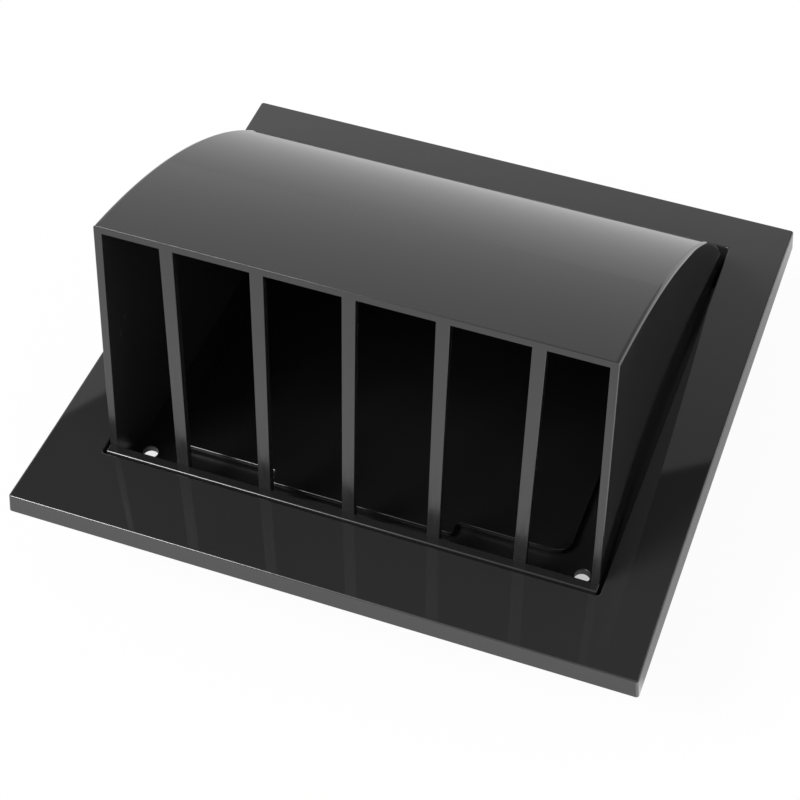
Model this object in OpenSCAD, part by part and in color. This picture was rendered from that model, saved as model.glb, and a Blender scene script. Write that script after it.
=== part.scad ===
// Wall exhaust vent for a 100 mm duct: base plate with duct spigot, arched hood with a
// barred front, square trim plate, and a hinged back-draught flap under the hood.
// The wall is the plane z = 0, +Z points out of the wall, and -Y is the open lower side.
// The origin is the centre of the duct and of the four wall screws.

/* [Trim plate] */
// Width of the trim plate
plate_w = 190; // [189:0.5:200]
// Height of the trim plate up the wall
plate_d = 191; // [190:0.5:195]
// Thickness of the moulded walls of the trim plate
plate_t = 2.4; // [1.6:0.2:3.2]
// Depth of the rim that turns down round the trim plate
rim_h = 6.5; // [4:0.1:8]
// Radius of the trim plate's four outer corners
plate_corner_r = 1.2; // [0.6:0.2:4]
// Strip of plate below the hood, on the open side
front_margin = 24.6; // [20:0.2:25]
// Strip of plate above the hood, where the roof ends
back_margin = 14.8; // [13:0.2:17]
// Strip of plate beside the hood, left and right
side_margin = 18.8; // [17:0.2:19.4]
// Front face of the plate above the wall
plate_top = 14.2; // [13:0.1:18]

/* [Hood] */
// Width across the hood's side walls where they pass the plate
hood_w = 150.3; // [146:0.1:150.8]
// Wall thickness of the hood
hood_t = 2.4; // [1.8:0.1:3]
// Height of the roof's front edge above the plate
hood_rise = 86; // [84:0.5:92]
// Draft of the side walls and of the barred front, in degrees
draft = 1.7; // [0.5:0.1:2.5]
// Radius of the arched roof
roof_r = 242; // [236:1:248]
// Fall of the roof at its front edge, in degrees
roof_fall = 11.4; // [10.5:0.1:12]
// Distance from the duct's centre to the front of the bars, where they pass the plate
hood_front = 67.3; // [65:0.1:67.5]
// Distance from the duct's centre to the hood's back wall
hood_back = 76.5; // [74:0.5:78]
// Width of the foot that runs out round the hood, under the trim plate
foot_w = 5.6; // [4.6:0.2:6.4]
// Thickness of that foot
foot_t = 2; // [1.4:0.2:2.6]

/* [Front bars] */
// Number of upright bars
bar_count = 5; // [3:2:5]
// Distance from one bar to the next
bar_pitch = 25.85; // [24:0.05:26.5]
// Width of a bar at the roof
bar_w_top = 3.9; // [3:0.1:5]
// Width of a bar at the floor
bar_w_base = 3.7; // [3:0.1:5]
// Depth of a bar, front to back
bar_depth = 2.4; // [1.8:0.1:3]
// Depth of the low sill in front of the bars
sill_depth = 2.8; // [2:0.1:3.4]

/* [Base plate] */
// Width of the base plate
base_w = 180; // [176:1:182]
// Height of the base plate up the wall
base_d = 180; // [178:1:184]
// Thickness of the base plate and of the rim that carries the trim plate
base_t = 2.4; // [2:0.1:3]
// Outside diameter of the duct spigot
spigot_d = 98; // [94:0.5:99]
// Wall thickness of the spigot
spigot_t = 2; // [1.6:0.2:3]
// Length of the spigot behind the wall face
spigot_l = 30; // [20:1:40]
// Diameter of the wall screws' holes
screw_d = 4.6; // [4:0.1:5]
// Distance between the screw holes, side to side
screw_dx = 136; // [135:0.5:137]
// Distance between the screw holes, up the wall
screw_dy = 113.4; // [112:0.2:115]

/* [Flap] */
// Width of the flap
flap_w = 125; // [120:0.5:127]
// Thickness of the flap
flap_t = 1.6; // [1.2:0.1:2]
// Distance from the duct's centre to the flap's lower edge
flap_front = 52.2; // [51.2:0.2:56]
// Radius of the flap's lower corners
flap_corner_r = 5; // [2:0.5:10]
// Width of the tab at the middle of the lower edge
tab_w = 57; // [40:1:80]
// Reach of the tab past the lower edge
tab_reach = 4.8; // [3:0.2:6]
// Distance from the duct's centre to the hinge
hinge_y = 58; // [57:0.2:59]
// Diameter of the flap's two hinge pins
pin_d = 3; // [2.4:0.1:3.2]
// How far the flap stands open in this view, in degrees
flap_open = 0; // [0:1:44]

/* [Hidden] */
// What the trim plate's parts come to
plate_under = plate_top - plate_t;
rim_bottom = plate_top - rim_h;
open_front = -plate_d / 2 + front_margin;
open_back = plate_d / 2 - back_margin;
open_half = plate_w / 2 - side_margin;
open_corner_r = 1;
lip_t = 2;
foot_top = base_t + foot_t;
rib_gap = 0.3;
rib_t = 1.6;
rib_h = 5;

// The roof's circle, seen from the side, starts at the top of the leaning front
roof_y = front_y(plate_top + hood_rise) - roof_r * sin(roof_fall);
roof_z = plate_top + hood_rise - roof_r * cos(roof_fall);
hood_high = plate_top + hood_rise + 5;

// The sill and the foot round the hood
sill_front = -hood_front - sill_depth;
sill_edge_r = 0.9;
foot_half = open_half + foot_w;
foot_front = open_front - foot_w + 1;
foot_back = open_back + foot_w - 1;
foot_corner_r = 2;

// The base plate's rim, the seat round the duct and the hinge ears
base_corner_r = 3;
bore_r = spigot_d / 2 - spigot_t;
seat_w = 3;
seat_h = 0.6;
lead_in = 0.8;
ear_t = 3;
ear_w = 7;
ear_x = 59.5;
pin_play = 0.05;

// The flap lies just clear of its seat, and its barrel is tangent to its back face
flap_z = base_t + seat_h + 0.1;
barrel_r = 2.5;
hinge_z = flap_z + barrel_r;
barrel_end_play = 0.4;
neck_l = 6;

// Overlap that makes cuts clean and unions sound
eps = 0.1;
$fn = 96;

// Flat outline of a rectangle with round corners, centred
module rounded_rect(w, d, r) {
    square([w - 2 * r, d], center = true);
    square([w, d - 2 * r], center = true);
    for (x = [-1, 1], y = [-1, 1])
        translate([x * (w / 2 - r), y * (d / 2 - r)]) circle(r);
}

// Flat frame of even width inside a rounded rectangle
module ring_rect(w, d, r, t) {
    difference() {
        rounded_rect(w, d, r);
        rounded_rect(w - 2 * t, d - 2 * t, max(r - t, 0.4));
    }
}

// The trim plate's opening, let out all round by grow
module opening(grow = 0) {
    translate([0, (open_front + open_back) / 2])
        rounded_rect(2 * (open_half + grow), open_back - open_front + 2 * grow, open_corner_r + grow);
}

// Places its children at the four screw holes
module at_screws() {
    for (x = [-1, 1], y = [-1, 1])
        translate([x * screw_dx / 2, y * screw_dy / 2]) children();
}

// Half the hood's outside width at a height above the wall
function hood_half(z) = hood_w / 2 - (z - plate_top) * tan(draft);

// Front face of the bars and of the side walls at a height above the wall
function front_y(z) = -hood_front + (z - plate_top) * tan(draft);

// Solid under the roof, with its walls moved inwards by inset and its front and foot
// pushed out by reach
module hood_block(inset, reach) {
    intersection() {
        rotate([90, 0, 90])
            linear_extrude(hood_w + 20, center = true)
                intersection() {
                    translate([roof_y, roof_z]) circle(roof_r - inset, $fn = 360);
                    polygon([
                        [front_y(base_t - reach) - reach, base_t - reach],
                        [hood_back - inset, base_t - reach],
                        [hood_back - inset, hood_high],
                        [front_y(hood_high) - reach, hood_high]
                    ]);
                }
        translate([0, hood_back + 10])
            rotate([90, 0, 0])
                linear_extrude(hood_front + hood_back + 20 + reach)
                    polygon([
                        [-hood_half(0) + inset, 0],
                        [hood_half(0) - inset, 0],
                        [hood_half(hood_high) - inset, hood_high],
                        [-hood_half(hood_high) + inset, hood_high]
                    ]);
    }
}

// One upright bar of the front, from the floor up past the roof and out past the front
module bar() {
    intersection() {
        rotate([90, 0, 0])
            linear_extrude(hood_front + sill_depth)
                polygon([
                    [-bar_w_base / 2, base_t],
                    [bar_w_base / 2, base_t],
                    [bar_w_top / 2, hood_high],
                    [-bar_w_top / 2, hood_high]
                ]);
        rotate([90, 0, 90])
            linear_extrude(2 * bar_w_top + 2 * bar_w_base, center = true)
                polygon([
                    [front_y(base_t) - sill_depth, base_t],
                    [front_y(base_t) + bar_depth, base_t],
                    [front_y(hood_high) + bar_depth, hood_high],
                    [front_y(hood_high) - sill_depth, hood_high]
                ]);
    }
}

// Low sill along the foot of the bars, with a rounded front edge
module sill() {
    rotate([90, 0, 90])
        linear_extrude(2 * hood_half(plate_top), center = true) {
            translate([sill_front, base_t])
                square([sill_depth + eps, plate_top - base_t - sill_edge_r]);
            translate([sill_front + sill_edge_r, plate_top - sill_edge_r - eps])
                square([sill_depth + eps - sill_edge_r, sill_edge_r + eps]);
            translate([sill_front + sill_edge_r, plate_top - sill_edge_r]) circle(sill_edge_r);
        }
}

// Foot that lies on the base plate and is held down by the trim plate's lip
module hood_foot() {
    translate([0, (foot_front + foot_back) / 2, base_t])
        linear_extrude(foot_t)
            rounded_rect(2 * foot_half, foot_back - foot_front, foot_corner_r);
}

module vent_hood() {
    color([0.07, 0.07, 0.07]) {
        difference() {
            union() {
                hood_block(0, 0);
                hood_foot();
                sill();
            }
            // The inside is open to the front above the sill and to the base plate below
            intersection() {
                hood_block(hood_t, 5);
                translate([-hood_w, -hood_front, 0]) cube([2 * hood_w, 2 * hood_w, 2 * hood_w]);
            }
        }
        intersection() {
            hood_block(0, 0);
            for (i = [0 : bar_count - 1])
                translate([(i - (bar_count - 1) / 2) * bar_pitch, 0]) bar();
        }
    }
}

module trim_plate() {
    color([0.1, 0.1, 0.1])
        difference() {
            union() {
                difference() {
                    translate([0, 0, rim_bottom])
                        linear_extrude(rim_h) rounded_rect(plate_w, plate_d, plate_corner_r);
                    translate([0, 0, rim_bottom - eps])
                        linear_extrude(rim_h - plate_t + eps)
                            rounded_rect(plate_w - 2 * plate_t, plate_d - 2 * plate_t, 0.4);
                }
                // Lip round the opening, down to the hood's foot
                translate([0, 0, foot_top])
                    linear_extrude(plate_under - foot_top + eps) opening(lip_t);
                // Rib that drops inside the base plate's rim and centres the plate
                translate([0, 0, plate_under - rib_h])
                    linear_extrude(rib_h + eps)
                        ring_rect(base_w - 2 * (base_t + rib_gap), base_d - 2 * (base_t + rib_gap),
                            base_corner_r, rib_t);
            }
            translate([0, 0, foot_top - eps]) linear_extrude(plate_top) opening();
        }
}

// Upright ear with the hole for one hinge pin
module hinge_ear() {
    rotate([90, 0, 90])
        linear_extrude(ear_t)
            difference() {
                union() {
                    translate([hinge_y - ear_w / 2, base_t - eps])
                        square([ear_w, hinge_z - base_t + eps]);
                    translate([hinge_y, hinge_z]) circle(ear_w / 2);
                }
                translate([hinge_y, hinge_z]) circle(pin_d / 2 + pin_play);
            }
}

// Duct spigot and the raised seat that the flap closes on
module spigot() {
    rotate_extrude($fn = 180)
        polygon([
            [bore_r, -spigot_l],
            [spigot_d / 2 - lead_in, -spigot_l],
            [spigot_d / 2, -spigot_l + lead_in],
            [spigot_d / 2, base_t - eps],
            [bore_r + seat_w, base_t - eps],
            [bore_r + seat_w, base_t + seat_h],
            [bore_r, base_t + seat_h]
        ]);
}

module base_plate() {
    color([0.08, 0.08, 0.09]) {
        linear_extrude(base_t)
            difference() {
                rounded_rect(base_w, base_d, base_corner_r);
                circle(bore_r + eps, $fn = 180);
                at_screws() circle(screw_d / 2);
            }
        linear_extrude(plate_under) ring_rect(base_w, base_d, base_corner_r, base_t);
        spigot();
        translate([ear_x, 0]) hinge_ear();
        translate([-ear_x - ear_t, 0]) hinge_ear();
    }
}

// Outline of the flap, with its tab in front and its narrower neck at the hinge
module flap_outline() {
    body_back = hinge_y - neck_l;
    for (x = [-1, 1])
        translate([x * (flap_w / 2 - flap_corner_r), -flap_front + flap_corner_r]) circle(flap_corner_r);
    translate([-flap_w / 2, -flap_front + flap_corner_r])
        square([flap_w, flap_front - flap_corner_r + body_back]);
    translate([-flap_w / 2 + flap_corner_r, -flap_front])
        square([flap_w - 2 * flap_corner_r, 2 * flap_corner_r]);
    translate([-tab_w / 2, -flap_front - tab_reach]) square([tab_w, tab_reach + eps]);
    translate([-ear_x + barrel_end_play, 0]) square([2 * (ear_x - barrel_end_play), hinge_y]);
}

module damper_flap() {
    color([0.12, 0.12, 0.13])
        translate([0, hinge_y, hinge_z])
            rotate([-flap_open, 0, 0])
                translate([0, -hinge_y, -hinge_z]) {
                    translate([0, 0, flap_z]) linear_extrude(flap_t) flap_outline();
                    translate([0, hinge_y, hinge_z])
                        rotate([0, 90, 0]) {
                            cylinder(h = 2 * (ear_x - barrel_end_play), r = barrel_r, center = true);
                            cylinder(h = 2 * (ear_x + ear_t), d = pin_d, center = true);
                        }
                }
}

base_plate();
vent_hood();
trim_plate();
damper_flap();
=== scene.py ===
import math

import bmesh
import bpy
from mathutils import Matrix, Vector
from mathutils.geometry import delaunay_2d_cdt


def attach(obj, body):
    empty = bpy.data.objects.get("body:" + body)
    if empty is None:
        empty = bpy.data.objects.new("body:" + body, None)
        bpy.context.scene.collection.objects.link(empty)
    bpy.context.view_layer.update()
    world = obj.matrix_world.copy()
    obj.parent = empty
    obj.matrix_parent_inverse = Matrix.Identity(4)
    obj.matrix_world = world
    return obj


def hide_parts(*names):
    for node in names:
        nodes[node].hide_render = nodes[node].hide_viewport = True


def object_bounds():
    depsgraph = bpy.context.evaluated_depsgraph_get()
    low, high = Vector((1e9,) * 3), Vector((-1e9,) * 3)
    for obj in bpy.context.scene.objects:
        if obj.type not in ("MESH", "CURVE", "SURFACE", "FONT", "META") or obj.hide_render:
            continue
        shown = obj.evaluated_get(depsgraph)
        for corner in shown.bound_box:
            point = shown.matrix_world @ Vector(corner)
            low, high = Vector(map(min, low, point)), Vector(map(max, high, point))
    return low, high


# Wall exhaust vent in moulded black plastic on a white studio floor; the dictionaries of the pieces
# are in millimetres and degrees, the others in metres and degrees
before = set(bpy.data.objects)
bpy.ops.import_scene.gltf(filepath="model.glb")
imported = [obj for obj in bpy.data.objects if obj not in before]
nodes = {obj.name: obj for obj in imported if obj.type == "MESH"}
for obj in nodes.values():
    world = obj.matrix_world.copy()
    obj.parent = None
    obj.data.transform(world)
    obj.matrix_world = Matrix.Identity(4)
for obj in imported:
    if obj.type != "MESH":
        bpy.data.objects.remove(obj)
cadLow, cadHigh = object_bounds()
scene = bpy.context.scene
mm = 0.001
print("frame loaded:", ", ".join(sorted(nodes)))


# Node helpers

def newMaterial(name):
    mat = bpy.data.materials.new(name)
    mat.use_nodes = True
    mat.node_tree.nodes.clear()
    return mat, mat.node_tree.nodes, mat.node_tree.links


def addNode(nodeList, kind, **values):
    node = nodeList.new(kind)
    for key, value in values.items():
        if hasattr(node, key):
            setattr(node, key, value)
        else:
            node.inputs[key.replace("_", " ")].default_value = value
    return node


# Math node; each value is an output to link or a fixed number
def combined(nodeList, links, operation, *values):
    node = addNode(nodeList, "ShaderNodeMath", operation=operation)
    for socket, value in zip(node.inputs, values):
        if isinstance(value, (int, float)):
            socket.default_value = value
        else:
            links.new(value, socket)
    return node.outputs[0]


def addNoise(nodeList, links, spot, perMetre, detail, roughness):
    noise = addNode(nodeList, "ShaderNodeTexNoise", Scale=perMetre, Detail=detail, Roughness=roughness)
    links.new(spot, noise.inputs["Vector"])
    return noise.outputs["Fac"]


def addBump(nodeList, links, height, strength, depth, normal=None):
    bump = addNode(nodeList, "ShaderNodeBump", Strength=strength, Distance=depth)
    links.new(height, bump.inputs["Height"])
    if normal is not None:
        links.new(normal, bump.inputs["Normal"])
    return bump.outputs["Normal"]


# From low to high over a range of the source, which for a noise is 0.3 to 0.7
def remap(nodeList, links, source, low, high, fromLow=0.3, fromHigh=0.7):
    node = nodeList.new("ShaderNodeMapRange")
    node.inputs["From Min"].default_value = fromLow
    node.inputs["From Max"].default_value = fromHigh
    node.inputs["To Min"].default_value = low
    node.inputs["To Max"].default_value = high
    links.new(source, node.inputs["Value"])
    return node.outputs["Result"]


# Faces that look to the front reflect as if they leaned back, the more so near the sill; gives
# the leaning normal and the share of a surface that looks to the front

def leaningFront(nodeList, links, spot, look):
    geometry = addNode(nodeList, "ShaderNodeNewGeometry")
    normal = addNode(nodeList, "ShaderNodeSeparateXYZ")
    links.new(geometry.outputs["Normal"], normal.inputs[0])
    place = addNode(nodeList, "ShaderNodeSeparateXYZ")
    links.new(spot, place.inputs[0])
    share = remap(nodeList, links, normal.outputs["Y"], 1, 0, *look["facingFront"])
    high, low = (math.tan(math.radians(look[key])) for key in ("leanAbove", "leanAtSill"))
    lean = remap(nodeList, links, place.outputs["Z"], low, high, look["sillAt"], look["leanTo"])
    lift = addNode(nodeList, "ShaderNodeCombineXYZ")
    links.new(combined(nodeList, links, "MULTIPLY", share, lean), lift.inputs["Z"])
    added = addNode(nodeList, "ShaderNodeVectorMath", operation="ADD")
    links.new(geometry.outputs["Normal"], added.inputs[0])
    links.new(lift.outputs[0], added.inputs[1])
    unit = addNode(nodeList, "ShaderNodeVectorMath", operation="NORMALIZE")
    links.new(added.outputs[0], unit.inputs[0])
    return unit.outputs[0], share


# Moulded black plastic: even black colour with faint flow shading, a gloss that varies a
# little in patches, a long soft waviness and a very fine skin grain; front faces are streaky

def mouldedPlastic(name, look):
    mat, nodeList, links = newMaterial(name)
    spot = addNode(nodeList, "ShaderNodeTexCoord").outputs["Object"]
    shader = addNode(nodeList, "ShaderNodeBsdfPrincipled", IOR=look["ior"],
                     Specular_IOR_Level=look["specular"])

    ramp = addNode(nodeList, "ShaderNodeValToRGB")
    stops = zip(ramp.color_ramp.elements, look["flowStops"], ("darkColour", "lightColour"))
    for stop, position, colour in stops:
        stop.position = position
        stop.color = (*look[colour], 1)
    links.new(addNoise(nodeList, links, spot, *look["flowNoise"]), ramp.inputs["Fac"])
    links.new(ramp.outputs["Color"], shader.inputs["Base Color"])

    patches = addNoise(nodeList, links, spot, *look["patchNoise"])
    rough = remap(nodeList, links, patches, look["glossy"], look["dull"])
    leaning = None
    if "front" in look:
        front = look["front"]
        leaning, frontShare = leaningFront(nodeList, links, spot, front)
        stretched = addNode(nodeList, "ShaderNodeMapping")
        stretched.inputs["Scale"].default_value = front["streaksPerMetre"]
        links.new(spot, stretched.inputs["Vector"])
        streaks = addNoise(nodeList, links, stretched.outputs[0], *front["streakNoise"])
        streaky = remap(nodeList, links, streaks, front["glossy"], front["dull"])
        chosen = addNode(nodeList, "ShaderNodeMix", data_type="FLOAT")
        for socket, value in ((0, frontShare), (2, rough), (3, streaky)):
            links.new(value, chosen.inputs[socket])
        rough = chosen.outputs[0]
    links.new(rough, shader.inputs["Roughness"])

    wave = addNoise(nodeList, links, spot, *look["waveNoise"])
    grain = addNoise(nodeList, links, spot, *look["grainNoise"])
    waved = addBump(nodeList, links, wave, look["waveStrength"], look["waveDepth"], leaning)
    grained = addBump(nodeList, links, grain, look["grainStrength"], look["grainDepth"], waved)
    links.new(grained, shader.inputs["Normal"])

    out = addNode(nodeList, "ShaderNodeOutputMaterial")
    links.new(shader.outputs["BSDF"], out.inputs["Surface"])
    return mat


# Each noise has its scale per metre, its detail and its roughness
plasticLook = {
    "ior": 1.5,
    "specular": 0.5,
    "darkColour": (0.0135, 0.0135, 0.0137),
    "lightColour": (0.0155, 0.0155, 0.0157),
    "flowStops": (0.35, 0.65),
    "flowNoise": (14, 3, 0.5),
    "glossy": 0.05,
    "dull": 0.09,
    "patchNoise": (30, 4, 0.6),
    "waveNoise": (22, 1, 0.4),
    "waveStrength": 0.2,
    "waveDepth": 0.1 * mm,
    "grainNoise": (3500, 2, 0.6),
    "grainStrength": 0.06,
    "grainDepth": 0.02 * mm,
}
frontLook = {
    "facingFront": (-0.98, -0.9),
    "leanAbove": 8.5, "leanAtSill": 16.0, "sillAt": 14.2 * mm, "leanTo": 42 * mm,
    "glossy": 0.12, "dull": 0.26, "streaksPerMetre": (1100, 1100, 70), "streakNoise": (1.0, 2, 0.6),
}
hoodPlasticLook = {**plasticLook, "front": frontLook}
# Inside faces of the hood: the same plastic with a lighter colour as painted light that brightens the shaded
# inside, and rougher so that reflections inside blur
hoodInsidePaintedLightLook = {
    **hoodPlasticLook, "darkColour": (0.019, 0.019, 0.0193), "lightColour": (0.022, 0.022, 0.0223),
    "glossy": 0.2, "dull": 0.28,
}
trimPlasticLook = {
    **plasticLook, "darkColour": (0.0235, 0.0235, 0.0237), "lightColour": (0.0255, 0.0255, 0.0257),
    "glossy": 0.008, "dull": 0.022, "waveStrength": 0.12, "grainStrength": 0.02,
}
flapPlasticLook = {
    **plasticLook, "darkColour": (0.0055, 0.0055, 0.0057), "lightColour": (0.0085, 0.0085, 0.0087),
    "glossy": 0.07, "dull": 0.11,
}
# Base plate: darker than the hood, a painted shade that stands in for the shaded floor inside the hood, and
# rougher
basePaintedShadeLook = {
    **plasticLook, "darkColour": (0.006, 0.006, 0.0061), "lightColour": (0.008, 0.008, 0.0081),
    "glossy": 0.34, "dull": 0.44,
}
hoodPlastic = mouldedPlastic("hoodBlackPlastic", hoodPlasticLook)
hoodInsidePaintedLightPlastic = mouldedPlastic("hoodInsidePaintedLightPlastic", hoodInsidePaintedLightLook)
trimPlastic = mouldedPlastic("trimGlossPlastic", trimPlasticLook)
basePaintedShadePlastic = mouldedPlastic("basePaintedShadePlastic", basePaintedShadeLook)
flapPlastic = mouldedPlastic("flapPlastic", flapPlasticLook)
print("materials made")


# Mesh helpers

meshLook = {
    "sharpFrom": 50,  # from this angle between two faces on, their edge is sharp
    "normalWeight": 50,
    "leastShare": 0.3,  # keeps an inward move short at a sharp corner
    "sameSpot": 1e-9,  # points nearer than this are one
}


def addPiece(name, bm, finish, body, node):
    bmesh.ops.recalc_face_normals(bm, faces=bm.faces)
    mesh = bpy.data.meshes.new(name)
    bm.to_mesh(mesh)
    bm.free()
    for face in mesh.polygons:
        face.use_smooth = True
    mesh.set_sharp_from_angle(angle=math.radians(meshLook["sharpFrom"]))
    for each in finish if isinstance(finish, list) else [finish]:
        mesh.materials.append(each)
    piece = bpy.data.objects.new(name, mesh)
    scene.collection.objects.link(piece)
    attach(piece, body)
    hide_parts(node)
    return piece


def weighNormals(piece):
    modifier = piece.modifiers.new("flatFacesStayFlat", "WEIGHTED_NORMAL")
    modifier.mode = "FACE_AREA"
    modifier.weight = meshLook["normalWeight"]
    modifier.keep_sharp = True


def roundEdges(piece, radius, steps):
    bevel = piece.modifiers.new("mouldEdges", "BEVEL")
    bevel.width = radius
    bevel.segments = steps
    bevel.limit_method = "WEIGHT"
    bevel.use_clamp_overlap = True
    bevel.miter_outer = "MITER_ARC"


def bridgeRings(bm, rings, closeStack=False):
    loops = [[bm.verts.new(point) for point in ring] for ring in rings]
    pairs = list(zip(loops, loops[1:]))
    if closeStack:
        pairs.append((loops[-1], loops[0]))
    for low, high in pairs:
        count = len(low)
        for i in range(count):
            j = (i + 1) % count
            bm.faces.new((low[i], low[j], high[j], high[i]))
    return loops


def roundedRectangle(left, right, front, back, radius, steps=6):
    points = []
    corners = [(right - radius, back - radius, 0), (left + radius, back - radius, 90),
               (left + radius, front + radius, 180), (right - radius, front + radius, 270)]
    for x, y, begin in corners:
        for i in range(steps + 1):
            angle = math.radians(begin + 90 * i / steps)
            points.append((x + radius * math.cos(angle), y + radius * math.sin(angle)))
    return points


# The same outline with more points on its four straight sides
def withSidePoints(points, count):
    corner = len(points) // 4
    longer = []
    for i, (x, y) in enumerate(points):
        longer.append((x, y))
        if (i + 1) % corner == 0:
            nextX, nextY = points[(i + 1) % len(points)]
            longer += [(x + (nextX - x) * k / count, y + (nextY - y) * k / count) for k in range(1, count)]
    return longer


def circlePoints(x, y, radius, steps):
    turns = [2 * math.pi * i / steps for i in range(steps)]
    return [(x + radius * math.cos(a), y + radius * math.sin(a)) for a in turns]


def movedInwards(points, distance):
    moved = []
    count = len(points)
    for i, point in enumerate(points):
        here = Vector(point)
        ahead = (Vector(points[(i + 1) % count]) - here).normalized()
        behind = (here - Vector(points[i - 1])).normalized()
        bisector = Vector((-ahead.y - behind.y, ahead.x + behind.x)).normalized()
        share = max(bisector.dot(Vector((-ahead.y, ahead.x))), meshLook["leastShare"])
        moved.append(tuple(here + bisector * distance / share))
    return moved


def insideLoops(x, y, loops):
    inside = False
    for points in loops:
        for (ax, ay), (bx, by) in zip(points, points[1:] + points[:1]):
            if (ay > y) != (by > y) and x < (bx - ax) * (y - ay) / (by - ay) + ax:
                inside = not inside
    return inside


# Flat plate between two heights with any number of holes and a small rounding on each edge;
# the outer outline runs anticlockwise and the holes clockwise

def addPlate(bm, loops, low, high, radius, steps=3):
    heights = [(low + radius * (1 - math.cos(math.pi / 2 * i / steps)),
                radius * (1 - math.sin(math.pi / 2 * i / steps))) for i in range(steps + 1)]
    heights += [(low + high - z, inset) for z, inset in reversed(heights)]
    caps = {low: [], high: []}
    for points in loops:
        rings = [[(x, y, z) for x, y in movedInwards(points, inset)] for z, inset in heights]
        made = bridgeRings(bm, rings)
        caps[low].append(made[0])
        caps[high].append(made[-1])
    for rows in caps.values():
        flat = [[(v.co.x, v.co.y) for v in row] for row in rows]
        points = [Vector(p) for row in flat for p in row]
        verts = [v for row in rows for v in row]
        edges, first = [], 0
        for row in flat:
            edges += [(first + i, first + (i + 1) % len(row)) for i in range(len(row))]
            first += len(row)
        spots, _, triangles, sources = delaunay_2d_cdt(points, edges, [], 0, meshLook["sameSpot"])[:4]
        for triangle in triangles:
            middle = sum((spots[i] for i in triangle), Vector((0, 0))) / 3
            if insideLoops(middle.x, middle.y, flat):
                bm.faces.new([verts[sources[i][0]] for i in triangle])


# Trim plate: a closed section carried round the outer outline and the opening

trimLook = {
    "halfWidth": 95.0, "front": -95.5, "back": 95.5, "cornerRadius": 0.9, "leastRadius": 0.3,
    "openHalf": 76.2, "openFront": -70.9, "openBack": 79.9, "openCorner": 1.0,
    "top": 14.2, "under": 11.8, "rimEnd": 7.1, "wall": 2.4,
    "sideLean": 0.75, "sideBow": 0.45, "bowPower": 4, "sidePoints": 12,
    "lip": 2.0, "lipEnd": 4.4, "ribInset": 7.7, "ribWall": 1.6, "ribDepth": 5.0,
    "showEdge": 0.55, "openEdge": 0.5, "hiddenEdge": 0.3,
}


def sectionCorner(base, inset, z, radius, arrive, leave, steps=4):
    centre = Vector((inset, z)) - Vector(arrive) * radius + Vector(leave) * radius
    points = []
    for i in range(steps + 1):
        angle = math.pi / 2 * i / steps
        spot = centre - Vector(leave) * radius * math.cos(angle) + Vector(arrive) * radius * math.sin(angle)
        points.append((base, spot.x, spot.y))
    return points


def trimSection(look):
    show, hidden, opening = look["showEdge"], look["hiddenEdge"], look["openEdge"]
    inside, rib = look["wall"], look["ribInset"]
    ribInside, ribEnd = rib + look["ribWall"], look["under"] - look["ribDepth"]
    section = []
    section += sectionCorner("outer", 0, look["rimEnd"], hidden, (-1, 0), (0, 1))
    section += sectionCorner("outer", 0, look["top"], show, (0, 1), (1, 0))
    section += sectionCorner("open", 0, look["top"], opening, (-1, 0), (0, -1))
    section += sectionCorner("open", 0, look["lipEnd"], hidden, (0, -1), (1, 0))
    section += sectionCorner("open", look["lip"], look["lipEnd"], hidden, (1, 0), (0, 1))
    section.append(("open", look["lip"], look["under"]))
    section.append(("outer", ribInside, look["under"]))
    section += sectionCorner("outer", ribInside, ribEnd, hidden, (0, -1), (-1, 0))
    section += sectionCorner("outer", rib, ribEnd, hidden, (-1, 0), (0, 1))
    section.append(("outer", rib, look["under"]))
    section.append(("outer", inside, look["under"]))
    section += sectionCorner("outer", inside, look["rimEnd"], hidden, (0, -1), (-1, 0))
    return section


# The rims at the sides lean in towards their top, most in the middle of each side
def leanedIn(look, points, z):
    rise = max(z - look["rimEnd"], 0) / (look["top"] - look["rimEnd"]) / look["halfWidth"]
    leaned = []
    for x, y in points:
        lean = look["sideLean"] + look["sideBow"] * (1 - (y / look["back"]) ** look["bowPower"])
        leaned.append((x * (1 - rise * lean), y))
    return leaned


def trimRing(look, base, inset, z):
    if base == "outer":
        half = look["halfWidth"] - inset
        radius = max(look["cornerRadius"] - inset, look["leastRadius"])
        outline = roundedRectangle(-half, half, look["front"] + inset, look["back"] - inset, radius)
        points = leanedIn(look, withSidePoints(outline, look["sidePoints"]), z)
    else:
        half, radius = look["openHalf"] + inset, look["openCorner"] + inset
        outline = roundedRectangle(-half, half, look["openFront"] - inset, look["openBack"] + inset, radius)
        points = withSidePoints(outline, look["sidePoints"])
    return [(x * mm, y * mm, z * mm) for x, y in points]


def makeTrimPlate():
    bm = bmesh.new()
    rings = [trimRing(trimLook, *spot) for spot in trimSection(trimLook)]
    bridgeRings(bm, rings, closeStack=True)
    piece = addPiece("trimPlate", bm, trimPlastic, "vent_body", "trim_plate")
    weighNormals(piece)


# Hood: roof arch, drafted side walls, leaning barred front, back wall, sill and foot

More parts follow.
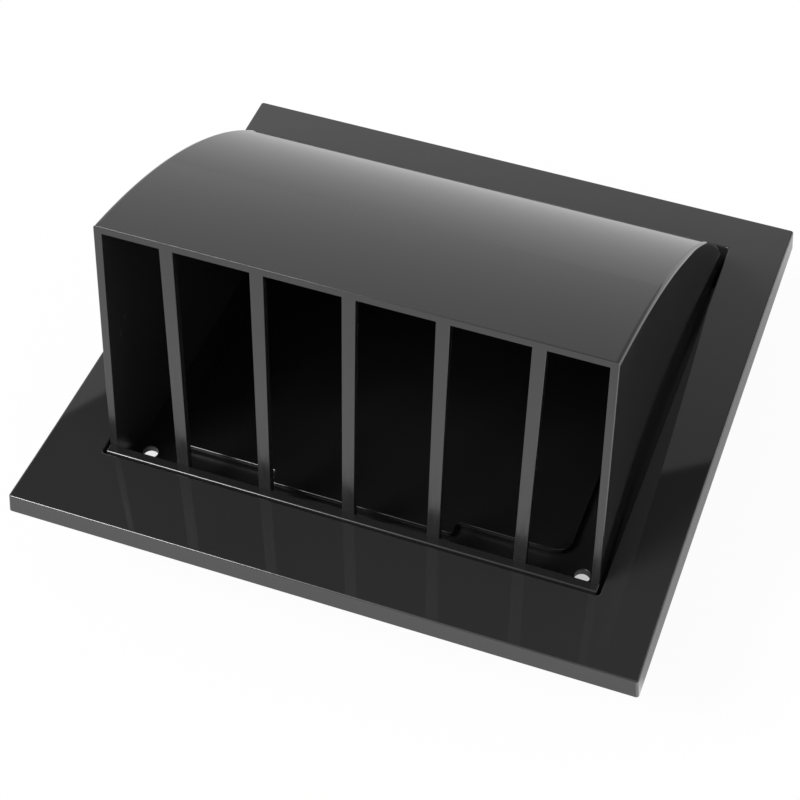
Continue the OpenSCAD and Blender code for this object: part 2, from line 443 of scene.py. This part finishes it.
hoodLook = {
    "widthAtPlate": 150.3, "wall": 2.4, "draft": 1.7, "rise": 86.0, "plateTop": 14.2,
    "front": -67.3, "back": 76.5, "foot": 2.4, "footBow": 1.9, "roofBow": 0.6,
    "roofRadius": 242.0, "roofFall": 11.4, "roofSteps": 72, "meetRounds": 8,
    "bars": 5, "barPitch": 25.85, "barTop": 3.9, "barBase": 3.7, "barTopAt": 105.2, "barDepth": 2.4,
    "sillDepth": 2.8, "sillOverlap": 0.15, "sillEdge": 0.6, "sillSteps": 6, "roundMiddle": 0.3,
    "sillEnds": ((0, 0.3), (0.1, 0.1), (0.3, 0)),  # how far from the end, and how much thinner
    "footHalf": 81.8, "footFront": -75.5, "footBack": 85.3, "footTop": 4.4, "footCorner": 2.0,
    "footEdge": 0.3, "holeWider": 0.2, "holeForward": 1.0, "holeCorner": 0.6,
    "roofEdge": 1.1, "cornerEdge": 0.28, "frontEdge": 0.22, "fineEdge": 0.15,
    "edgeSteps": 4, "edgeFrom": 30,  # only edges with at least this angle are rounded
}


def drafted(z):
    return (z - hoodLook["plateTop"]) * math.tan(math.radians(hoodLook["draft"]))


def hoodHalf(z):
    return hoodLook["widthAtPlate"] / 2 - drafted(z)


def frontY(z):
    return hoodLook["front"] + drafted(z)


def roofCentre():
    fall, radius = math.radians(hoodLook["roofFall"]), hoodLook["roofRadius"]
    top = hoodLook["plateTop"] + hoodLook["rise"]
    return frontY(top) - radius * math.sin(fall), top - radius * math.cos(fall)


# Where the arch of this radius meets the front plane, or a plane behind it
def roofAtFront(radius, behind):
    centreY, centreZ = roofCentre()
    z = hoodLook["plateTop"] + hoodLook["rise"]
    for attempt in range(hoodLook["meetRounds"]):
        y = frontY(z) + behind
        z = centreZ + math.sqrt(radius ** 2 - (y - centreY) ** 2)
    return y, z


def roofLine(radius, begin, end, steps):
    centreY, centreZ = roofCentre()
    first, last = math.asin((begin - centreY) / radius), math.asin((end - centreY) / radius)
    angles = [first + (last - first) * i / steps for i in range(steps + 1)]
    return [(centreY + radius * math.sin(a), centreZ + radius * math.cos(a)) for a in angles]


# How far the side walls bow between the front and the back wall: in at the foot, out at the roof
def bowed(most, y):
    span = (y - hoodLook["front"]) / (hoodLook["back"] - hoodLook["front"])
    return most * math.sin(math.pi * min(max(span, 0), 1))


def addHoodShell(bm):
    look = hoodLook
    wall, foot = look["wall"], look["foot"]
    roofRadius, innerRadius = look["roofRadius"], look["roofRadius"] - wall
    outer = roofLine(roofRadius, roofAtFront(roofRadius, 0)[0], look["back"], look["roofSteps"])
    inner = [roofAtFront(innerRadius, 0)]
    barTopY = roofAtFront(innerRadius, look["barDepth"])[0]
    inner += roofLine(innerRadius, barTopY, look["back"] - wall, look["roofSteps"])
    front, barBack = frontY(foot), frontY(foot) + look["barDepth"]

    def point(x, y, z):
        return bm.verts.new((x * mm, y * mm, z * mm))

    def face(*verts):
        return bm.faces.new(verts)

    def wallStrips(side, line, inset):
        top = [point(side * (hoodHalf(z) - inset + bowed(look["roofBow"], y)), y, z) for y, z in line]
        footY = [front] + [y for y, z in line[1:]]
        low = [point(side * (hoodHalf(foot) - inset - bowed(look["footBow"], y)), y, foot) for y in footY]
        for i in range(len(line) - 1):
            face(low[i], top[i], top[i + 1], low[i + 1]).material_index = 1 if inset else 0
        return top, low

    sides = {}
    for side in (-1, 1):
        out, outLow = wallStrips(side, outer, 0)
        ins, insLow = wallStrips(side, inner, wall)
        face(outLow[0], out[0], ins[0], insLow[0])
        face(*outLow, *reversed(insLow))
        sides[side] = (out, outLow[-1], ins, insLow[-1])
    (outL, backL, inL, inBackL), (outR, backR, inR, inBackR) = sides[-1], sides[1]
    for i in range(len(outer) - 1):
        face(outL[i], outR[i], outR[i + 1], outL[i + 1])
    face(outL[-1], outR[-1], backR, backL)
    face(inL[-1], inR[-1], inBackR, inBackL).material_index = 1
    face(backL, backR, inBackR, inBackL)

    # The bars stand in the front opening and divide the edge of the roof above it
    frontTop, backTop = [inL[0]], [inL[1]]
    for i in range(look["bars"]):
        middle = (i - (look["bars"] - 1) / 2) * look["barPitch"]
        columns = []
        for side in (-1, 1):
            def edgeX(z):
                share = (z - foot) / (look["barTopAt"] - foot)
                return middle + side * (look["barBase"] + (look["barTop"] - look["barBase"]) * share) / 2
            (topY, topZ), (behindY, behindZ) = inner[0], inner[1]
            columns.append((point(edgeX(topZ), topY, topZ), point(edgeX(behindZ), behindY, behindZ),
                            point(edgeX(foot), front, foot), point(edgeX(foot), barBack, foot)))
        (ftL, btL, fbL, bbL), (ftR, btR, fbR, bbR) = columns
        face(ftL, ftR, fbR, fbL)
        face(btL, btR, bbR, bbL)
        face(ftL, btL, bbL, fbL)
        face(ftR, btR, bbR, fbR)
        face(fbL, fbR, bbR, bbL)
        frontTop += [ftL, ftR]
        backTop += [btL, btR]
    frontTop.append(inR[0])
    backTop.append(inR[1])
    for i in range(0, len(frontTop), 2):
        face(frontTop[i], frontTop[i + 1], backTop[i + 1], backTop[i])
    face(outL[0], outR[0], *reversed(frontTop))
    face(*backTop, inR[2], inL[2])
    for i in range(2, len(inner) - 1):
        face(inL[i], inR[i], inR[i + 1], inL[i + 1]).material_index = 1

    # The roof's side edges are the roundest, then the front corners, then the front of the roof
    weight = bm.edges.layers.float.new("bevel_weight_edge")
    bm.normal_update()
    bmesh.ops.recalc_face_normals(bm, faces=bm.faces)
    arcs = [set(outL), set(outR)]
    for edge in bm.edges:
        if edge.calc_face_angle(0) < math.radians(look["edgeFrom"]):
            continue
        first, last = ([vert in arc for arc in arcs] for vert in edge.verts)
        radius = look["fineEdge"]
        if any(first) and any(last):
            radius = look["roofEdge"] if first == last else look["frontEdge"]
        elif any(first) or any(last):
            radius = look["cornerEdge"]
        edge[weight] = radius / look["roofEdge"]


def sillSection():
    look = hoodLook
    edge, small = look["sillEdge"], look["fineEdge"]
    front, back = look["front"] - look["sillDepth"], look["front"] + look["sillOverlap"]
    top, low = look["plateTop"], look["foot"]
    section = [(front, low)]
    for i in range(look["sillSteps"] + 1):
        angle = math.pi / 2 * i / look["sillSteps"]
        section.append((front + edge * (1 - math.cos(angle)), top - edge * (1 - math.sin(angle))))
    middle = look["roundMiddle"] * small
    return section + [(back - small, top), (back - middle, top - middle), (back, top - small), (back, low)]


def addSill(bm):
    half = hoodHalf(hoodLook["plateTop"])
    section, ends = sillSection(), hoodLook["sillEnds"]
    middleY = sum(y for y, z in section) / len(section)
    middleZ = sum(z for y, z in section) / len(section)
    stations = [(-half + along, shrink) for along, shrink in ends]
    stations += [(half - along, shrink) for along, shrink in reversed(ends)]
    rings = []
    for x, shrink in stations:
        ring = []
        for y, z in section:
            toward = Vector((middleY - y, middleZ - z)).normalized() * shrink
            ring.append((x * mm, (y + toward.x) * mm, (z + toward.y) * mm))
        rings.append(ring)
    loops = bridgeRings(bm, rings)
    bm.faces.new(loops[0])
    bm.faces.new(list(reversed(loops[-1])))


def addHoodFoot(bm):
    look = hoodLook
    half = look["footHalf"]
    outside = roundedRectangle(-half, half, look["footFront"], look["footBack"], look["footCorner"])
    holeHalf = hoodHalf(look["foot"]) - look["wall"] + look["holeWider"]
    hole = roundedRectangle(-holeHalf, holeHalf, look["front"] - look["holeForward"],
                            look["back"] - look["holeForward"], look["holeCorner"])
    loops = [[(x * mm, y * mm) for x, y in points] for points in (outside, reversed(hole))]
    addPlate(bm, loops, look["foot"] * mm, look["footTop"] * mm, look["footEdge"] * mm)


def makeHood():
    bm = bmesh.new()
    addHoodShell(bm)
    finishes = [hoodPlastic, hoodInsidePaintedLightPlastic]
    piece = addPiece("hoodShell", bm, finishes, "vent_body", "vent_hood")
    roundEdges(piece, hoodLook["roofEdge"] * mm, hoodLook["edgeSteps"])
    weighNormals(piece)
    bm = bmesh.new()
    addSill(bm)
    addHoodFoot(bm)
    piece = addPiece("hoodSillAndFoot", bm, hoodPlastic, "vent_body", "vent_hood")
    weighNormals(piece)


# Flap: flat panel with round lower corners and a lifting tab, hung on a round barrel

flapLook = {
    "halfWidth": 62.5, "low": 3.1, "thickness": 1.6, "front": -52.2, "cornerRadius": 5.0,
    "tabHalf": 28.5, "tabReach": 4.8, "tabCorner": 1.2, "neckHalf": 59.1, "neckLength": 6.0,
    "hingeY": 58.0, "barrelRadius": 2.5, "pinRadius": 1.5, "pinEnd": 62.5,
    "edge": 0.4, "rodEdge": 0.3, "barrelSteps": 40,
}


def flapOutline(look):
    half, front, tab = look["halfWidth"], look["front"], look["tabHalf"]
    tabFront, backY = front - look["tabReach"], look["hingeY"] - look["neckLength"]
    outline = []

    def corner(x, y, radius, begin, end, steps=6):
        for i in range(steps + 1):
            angle = math.radians(begin + (end - begin) * i / steps)
            outline.append((x + radius * math.cos(angle), y + radius * math.sin(angle)))

    small, big = look["tabCorner"], look["cornerRadius"]
    corner(-tab + small, tabFront + small, small, 180, 270)
    corner(tab - small, tabFront + small, small, 270, 360)
    corner(tab + small, front - small, small, 180, 90)
    corner(half - big, front + big, big, 270, 360)
    corner(half - small, backY - small, small, 0, 90)
    outline.append((look["neckHalf"], backY))
    outline.append((look["neckHalf"], look["hingeY"]))
    outline.append((-look["neckHalf"], look["hingeY"]))
    outline.append((-look["neckHalf"], backY))
    corner(-half + small, backY - small, small, 90, 180)
    corner(-half + big, front + big, big, 180, 270)
    corner(-tab - small, front - small, small, 90, 0)
    return [(x * mm, y * mm) for x, y in outline]


def addRod(bm, halfLength, radius, y, z, edge, steps):
    stations = [(-halfLength, radius - edge), (-halfLength + edge, radius),
                (halfLength - edge, radius), (halfLength, radius - edge)]
    rings = []
    for x, r in stations:
        circle = circlePoints(y, z, r, steps)
        rings.append([(x * mm, a * mm, b * mm) for a, b in circle])
    loops = bridgeRings(bm, rings)
    bm.faces.new(loops[0])
    bm.faces.new(list(reversed(loops[-1])))


def makeFlap():
    look = flapLook
    hingeZ = look["low"] + look["barrelRadius"]
    bm = bmesh.new()
    low, high = look["low"] * mm, (look["low"] + look["thickness"]) * mm
    addPlate(bm, [flapOutline(look)], low, high, look["edge"] * mm)
    rods = ((look["neckHalf"], look["barrelRadius"]), (look["pinEnd"], look["pinRadius"]))
    for halfLength, radius in rods:
        addRod(bm, halfLength, radius, look["hingeY"], hingeZ, look["rodEdge"], look["barrelSteps"])
    piece = addPiece("damperFlap", bm, flapPlastic, "damper", "damper_flap")
    weighNormals(piece)


# Base plate: floor with duct bore and screw holes, raised rim, spigot, seat and hinge ears

baseLook = {
    "half": 90.0, "thickness": 2.4, "cornerRadius": 3.0, "leastRadius": 0.4, "edge": 0.3,
    "rimTop": 11.8, "rimWall": 2.4, "rimLow": 0.05, "rimSunk": 0.2,
    "screwX": 68.0, "screwY": 56.7, "screwRadius": 2.3, "screwSteps": 40,
    "spigotRadius": 49.0, "boreRadius": 47.0, "spigotLength": 30.0, "leadIn": 0.8, "boreSteps": 120,
    "seatWidth": 3.0, "seatHeight": 0.6, "seatEdge": 0.2, "seatUnder": 1.2, "floorClear": 0.6,
    "earX": 59.5, "earWall": 3.0, "earHalf": 3.5, "earSunk": 0.3, "earSteps": 24,
    "hingeY": 58.0, "hingeZ": 5.6, "pinHole": 1.55, "pinSteps": 32,
}


def addBaseFloor(bm):
    look = baseLook
    half, steps = look["half"], look["screwSteps"]
    bore = circlePoints(0, 0, look["boreRadius"] + look["floorClear"], look["boreSteps"])
    loops = [roundedRectangle(-half, half, -half, half, look["cornerRadius"]), list(reversed(bore))]
    for sx in (-1, 1):
        for sy in (-1, 1):
            hole = circlePoints(sx * look["screwX"], sy * look["screwY"], look["screwRadius"], steps)
            loops.append(list(reversed(hole)))
    loops = [[(x * mm, y * mm) for x, y in loop] for loop in loops]
    addPlate(bm, loops, 0, look["thickness"] * mm, look["edge"] * mm)


def addBaseRim(bm):
    look = baseLook
    wall, edge, top, low = look["rimWall"], look["edge"], look["rimTop"], look["rimLow"]
    section = [(edge, low), (0, edge), (0, top - edge), (edge, top), (wall - edge, top),
               (wall, top - edge), (wall, look["thickness"] - look["rimSunk"]), (wall, low)]
    rings = []
    for inset, z in section:
        half, radius = look["half"] - inset, max(look["cornerRadius"] - inset, look["leastRadius"])
        outline = roundedRectangle(-half, half, -half, half, radius)
        rings.append([(x * mm, y * mm, z * mm) for x, y in outline])
    bridgeRings(bm, rings, closeStack=True)


def addSpigot(bm):
    look = baseLook
    inside, outside, end = look["boreRadius"], look["spigotRadius"], -look["spigotLength"]
    top, seat = look["thickness"] + look["seatHeight"], inside + look["seatWidth"]
    edge, leadIn, seatEdge, under = (look[key] for key in ("edge", "leadIn", "seatEdge", "seatUnder"))
    section = [(inside, end + edge), (inside + edge, end), (outside - leadIn, end), (outside, end + leadIn),
               (outside, under), (seat, under), (seat, top - seatEdge), (seat - seatEdge, top),
               (inside + edge, top), (inside, top - edge)]
    rings = []
    for radius, z in section:
        circle = circlePoints(0, 0, radius, look["boreSteps"])
        rings.append([(x * mm, y * mm, z * mm) for x, y in circle])
    bridgeRings(bm, rings, closeStack=True)


def addHingeEar(bm, left):
    look = baseLook
    half, y, z, low = look["earHalf"], look["hingeY"], look["hingeZ"], look["thickness"] - look["earSunk"]
    outline = [(y - half, low), (y + half, low)]
    for i in range(look["earSteps"] + 1):
        angle = math.pi * i / look["earSteps"]
        outline.append((y + half * math.cos(angle), z + half * math.sin(angle)))
    hole = list(reversed(circlePoints(y, z, look["pinHole"], look["pinSteps"])))
    ear = bmesh.new()
    loops = [[(a * mm, b * mm) for a, b in loop] for loop in (outline, hole)]
    addPlate(ear, loops, 0, look["earWall"] * mm, look["edge"] * mm)
    turn = Matrix(((0, 0, 1, left * mm), (1, 0, 0, 0), (0, 1, 0, 0), (0, 0, 0, 1)))
    bmesh.ops.transform(ear, matrix=turn, verts=ear.verts)
    earMesh = bpy.data.meshes.new("hingeEarPart")
    ear.to_mesh(earMesh)
    ear.free()
    bm.from_mesh(earMesh)
    bpy.data.meshes.remove(earMesh)


def makeBasePlate():
    bm = bmesh.new()
    addBaseFloor(bm)
    addBaseRim(bm)
    addSpigot(bm)
    for left in (baseLook["earX"], -baseLook["earX"] - baseLook["earWall"]):
        addHingeEar(bm, left)
    piece = addPiece("basePlate", bm, basePaintedShadePlastic, "vent_body", "base_plate")
    weighNormals(piece)


makeTrimPlate()
makeHood()
makeFlap()
makeBasePlate()
print("pieces made")


# Studio helpers

# Strength that follows the stops, which are pairs of a place and the strength there
def shadeRamp(nodeList, links, source, stops):
    begin, end, peak = stops[0][0], stops[-1][0], max(shade for place, shade in stops)
    node = addNode(nodeList, "ShaderNodeValToRGB")
    for i, (place, shade) in enumerate(stops):
        position = (place - begin) / (end - begin)
        stop = node.color_ramp.elements[i] if i < 2 else node.color_ramp.elements.new(position)
        stop.position = position
        stop.color = (*[shade / peak] * 3, 1)
    links.new(remap(nodeList, links, source, 0, 1, begin, end), node.inputs["Fac"])
    return combined(nodeList, links, "MULTIPLY", node.outputs["Color"], peak)


def mirroredRays(nodeList, links, path):
    glossy, through = path.outputs["Is Glossy Ray"], path.outputs["Is Transmission Ray"]
    return combined(nodeList, links, "MAXIMUM", glossy, through)


def mixedShaders(nodeList, links, share, first, second):
    mixed = addNode(nodeList, "ShaderNodeMixShader")
    links.new(share, mixed.inputs["Fac"])
    links.new(first.outputs[0], mixed.inputs[1])
    links.new(second.outputs[0], mixed.inputs[2])
    return mixed


# White floor with a faint soft shadow of the vent, and a painted shadow that makes the camera see it greyer
# under the vent.
# For reflected rays it glows as a painted reflection: bright in front, painted shade near the vent, and a
# painted glint glow off its right front corner

floorLook = {
    "size": 12.0,
    "shade": 0.88,
    "ownWhite": 0.95,
    "paintedShadowWhite": 0.45,
    "paintedShadowMiddleY": 0.03,
    "paintedShadowReach": (0.085, 0.091),
    "paintedGlowShare": 0.3,
    "paintedGlowAlong": ((-0.34, 2.5), (-0.27, 2.8), (-0.21, 3.4), (-0.165, 3.0), (-0.129, 1.4),
                   (-0.105, 0.35), (0.05, 0.15)),
    "paintedGlowRight": 0.75,
    "rightFrom": (0.098, 0.102),
    "paintedGlintCorner": 4.5,
    "paintedGlintUntil": (-0.07, -0.06),
}


def floorMaterial():
    look = floorLook
    mat, nodeList, links = newMaterial("studioFloorWhite")
    path = addNode(nodeList, "ShaderNodeLightPath")
    split = addNode(nodeList, "ShaderNodeSeparateXYZ")
    links.new(addNode(nodeList, "ShaderNodeTexCoord").outputs["Object"], split.inputs[0])
    x, y = split.outputs["X"], split.outputs["Y"]

    def joined(operation, *values):
        return combined(nodeList, links, operation, *values)

    diffuse = addNode(nodeList, "ShaderNodeBsdfDiffuse")
    diffuse.inputs["Color"].default_value = (*[look["shade"]] * 3, 1)
    # Painted shadow: the share of white that the camera sees drops to grey in a square under the middle of
    # the vent, which shows through its holes
    fromMiddle = joined("ABSOLUTE", joined("SUBTRACT", y, look["paintedShadowMiddleY"]))
    fromPaintedShadow = joined("MAXIMUM", joined("ABSOLUTE", x), fromMiddle)
    ownWhite = remap(nodeList, links, fromPaintedShadow, look["paintedShadowWhite"], look["ownWhite"], *look["paintedShadowReach"])
    white = addNode(nodeList, "ShaderNodeEmission", Strength=1.0)
    seen = joined("MULTIPLY", path.outputs["Is Camera Ray"], ownWhite)
    forCamera = mixedShaders(nodeList, links, seen, diffuse, white)

    # Painted reflection: for mirrored rays the floor glows up to several times white in front of the vent,
    # dims near it as painted shade, and has a painted glint glow off its right front corner
    aside = remap(nodeList, links, x, 0, 1, *look["rightFrom"])
    corner = remap(nodeList, links, y, look["paintedGlintCorner"], look["paintedGlowRight"], *look["paintedGlintUntil"])
    along = shadeRamp(nodeList, links, y, look["paintedGlowAlong"])
    strength = joined("ADD", along, joined("MULTIPLY", aside, corner))
    glow = addNode(nodeList, "ShaderNodeEmission")
    links.new(strength, glow.inputs["Strength"])
    share = joined("MULTIPLY", mirroredRays(nodeList, links, path), look["paintedGlowShare"])
    forGloss = mixedShaders(nodeList, links, share, forCamera, glow)
    out = addNode(nodeList, "ShaderNodeOutputMaterial")
    links.new(forGloss.outputs[0], out.inputs["Surface"])
    return mat


def makeFloor():
    half = floorLook["size"] / 2
    mesh = bpy.data.meshes.new("studioFloor")
    corners = [(-half, -half, 0), (half, -half, 0), (half, half, 0), (-half, half, 0)]
    mesh.from_pydata(corners, [], [(0, 1, 2, 3)])
    floor = bpy.data.objects.new("studioFloor", mesh)
    floor.location.z = cadLow.z
    floor.data.materials.append(floorMaterial())
    scene.collection.objects.link(floor)


# Broad soft lamp from the front left, which draws the bright lines along the front edges; in
# reflections it has a glow, given by the cosine of the angle to it

lampLook = {
    "light": 2.2,
    "width": 24.0,
    "height": 45.0,
    "forward": 50.0,
    "glow": ((0.0, 0), (0.766, 0), (0.866, 0.2), (0.934, 0.6), (0.961, 2.0), (0.978, 12.0)),
}


def lampDirection():
    height, forward = (math.radians(lampLook[key]) for key in ("height", "forward"))
    level = math.cos(height)
    return Vector((-level * math.cos(forward), -level * math.sin(forward), math.sin(height)))


def makeLamp():
    toward = lampDirection()
    data = bpy.data.lights.new("softLampLeft", "SUN")
    data.energy = lampLook["light"]
    data.angle = math.radians(lampLook["width"])
    lamp = bpy.data.objects.new("softLampLeft", data)
    lamp.location = toward
    lamp.rotation_euler = (-toward).to_track_quat("-Z", "Y").to_euler()
    scene.collection.objects.link(lamp)


# What the vent mirrors round the floor: behind it a backdrop that ends at a slanted edge about 40
# degrees up and is brightest far on the right, and dim light in front, above and at both sides.
# The camera sees white, and matt surfaces get a soft fill that is weaker from behind.

skyLook = {
    "upwards": ((0.0, 0.8), (0.41, 0.92), (0.637, 1.18), (0.663, 1.06), (0.687, 0.84), (0.715, 0.69),
                (0.742, 0.55), (1.0, 0.45)),
    "across": ((-0.4, 1.01), (-0.06, 0.765), (0.05, 0.65), (0.3, 0.45), (0.55, 0.6), (0.68, 4.5), (1.0, 4.5)),
    "behindFrom": (-0.05, 0.05),
    "edge": 0.6503, "edgeBlur": 0.0008, "edgeTilt": 0.21, "edgeStep": 0.0797, "stepAt": (-0.3, -0.15),
    "dimmed": 0.38, "dimmedFrom": (0.69, 0.74), "dimmedTilt": 0.71,
    "dimLight": 0.28, "frontUntil": (-0.3, 0), "aboveFrom": (0.83, 0.9),
    "sideLight": 0.45, "rightFrom": (0.05, 0.22), "leftUntil": (-0.7, -0.5),
    "least": 0.04,
    "fillFront": 1.0, "fillBack": 0.3, "fillAlong": (-0.4, 0.4),
}


def makeSurroundings():
    look = skyLook
    world = bpy.data.worlds.new("studioSurroundings")
    scene.world = world
    world.use_nodes = True
    nodeList, links = world.node_tree.nodes, world.node_tree.links
    nodeList.clear()
    direction = addNode(nodeList, "ShaderNodeTexCoord").outputs["Generated"]
    split = addNode(nodeList, "ShaderNodeSeparateXYZ")
    links.new(direction, split.inputs[0])
    x, y, z = (split.outputs[axis] for axis in "XYZ")

    def joined(operation, *values):
        return combined(nodeList, links, operation, *values)

    def ranged(source, low, high, span):
        return remap(nodeList, links, source, low, high, *span)

    step = ranged(x, 0, look["edgeStep"], look["stepAt"])
    height = joined("SUBTRACT", joined("MULTIPLY_ADD", x, look["edgeTilt"], z), step)
    under = ranged(height, 1, 0, (look["edge"] - look["edgeBlur"], look["edge"] + look["edgeBlur"]))
    dimmed = ranged(joined("MULTIPLY_ADD", x, look["dimmedTilt"], z), 1, look["dimmed"], look["dimmedFrom"])
    behind = ranged(y, 0, 1, look["behindFrom"])
    upwards = shadeRamp(nodeList, links, z, look["upwards"])
    across = shadeRamp(nodeList, links, x, look["across"])
    backdrop = joined("MULTIPLY", joined("MULTIPLY", upwards, across), under)
    backdrop = joined("MULTIPLY", backdrop, joined("MULTIPLY", dimmed, behind))

    inFront = ranged(y, look["dimLight"], 0, look["frontUntil"])
    above = ranged(z, 0, look["dimLight"], look["aboveFrom"])
    onRight = ranged(x, 0, look["sideLight"], look["rightFrom"])
    onLeft = ranged(x, look["sideLight"], 0, look["leftUntil"])
    around = joined("MAXIMUM", joined("MAXIMUM", inFront, above), joined("MAXIMUM", onRight, onLeft))
    toLamp = addNode(nodeList, "ShaderNodeVectorMath", operation="DOT_PRODUCT")
    toLamp.inputs[1].default_value = lampDirection()
    links.new(direction, toLamp.inputs[0])
    glow = shadeRamp(nodeList, links, toLamp.outputs["Value"], lampLook["glow"])
    strength = joined("ADD", joined("ADD", joined("MAXIMUM", backdrop, around), glow), look["least"])

    mirrored = addNode(nodeList, "ShaderNodeBackground")
    fill = addNode(nodeList, "ShaderNodeBackground")
    seen = addNode(nodeList, "ShaderNodeBackground", Strength=1.0)
    links.new(strength, mirrored.inputs["Strength"])
    links.new(ranged(y, look["fillFront"], look["fillBack"], look["fillAlong"]), fill.inputs["Strength"])
    for node in (mirrored, fill, seen):
        node.inputs["Color"].default_value = (1, 1, 1, 1)
    path = addNode(nodeList, "ShaderNodeLightPath")
    forGloss = mixedShaders(nodeList, links, mirroredRays(nodeList, links, path), fill, mirrored)
    forCamera = mixedShaders(nodeList, links, path.outputs["Is Camera Ray"], forGloss, seen)
    out = addNode(nodeList, "ShaderNodeOutputWorld")
    links.new(forCamera.outputs[0], out.inputs["Surface"])


makeFloor()
makeSurroundings()
makeLamp()
print("studio made")


# Camera at the photo's viewing angle, a little wider so that the whole plate is in view

cameraLook = {
    "place": (0.13923, -0.41931, 0.47125),
    "turn": 19.03,
    "down": 47.24,
    "roll": 1.04,
    "pixelsAcross": 800,
    "focalPixels": 2114,
    "widen": 0.975,
    "pushRight": 8.6,
    "sensor": 36.0,
    "clipStart": 0.01,
}


def makeCamera():
    look = cameraLook
    turn, down, roll = (math.radians(look[key]) for key in ("turn", "down", "roll"))
    ahead = Vector((-math.sin(turn) * math.cos(down), math.cos(turn) * math.cos(down), -math.sin(down)))
    level = Vector((math.cos(turn), math.sin(turn), 0))
    upright = level.cross(ahead)
    right = level * math.cos(roll) + upright * math.sin(roll)
    up = upright * math.cos(roll) - level * math.sin(roll)
    data = bpy.data.cameras.new("photoCamera")
    data.sensor_width = look["sensor"]
    data.lens = look["focalPixels"] * look["widen"] / look["pixelsAcross"] * look["sensor"]
    data.shift_x = -look["pushRight"] / look["pixelsAcross"]
    data.clip_start = look["clipStart"]
    camera = bpy.data.objects.new("photoCamera", data)
    axes = Matrix((right, up, -ahead)).transposed().to_4x4()
    camera.matrix_world = Matrix.Translation(look["place"]) @ axes
    scene.collection.objects.link(camera)
    scene.camera = camera


makeCamera()
scene.view_settings.view_transform = "Standard"
print("camera placed")
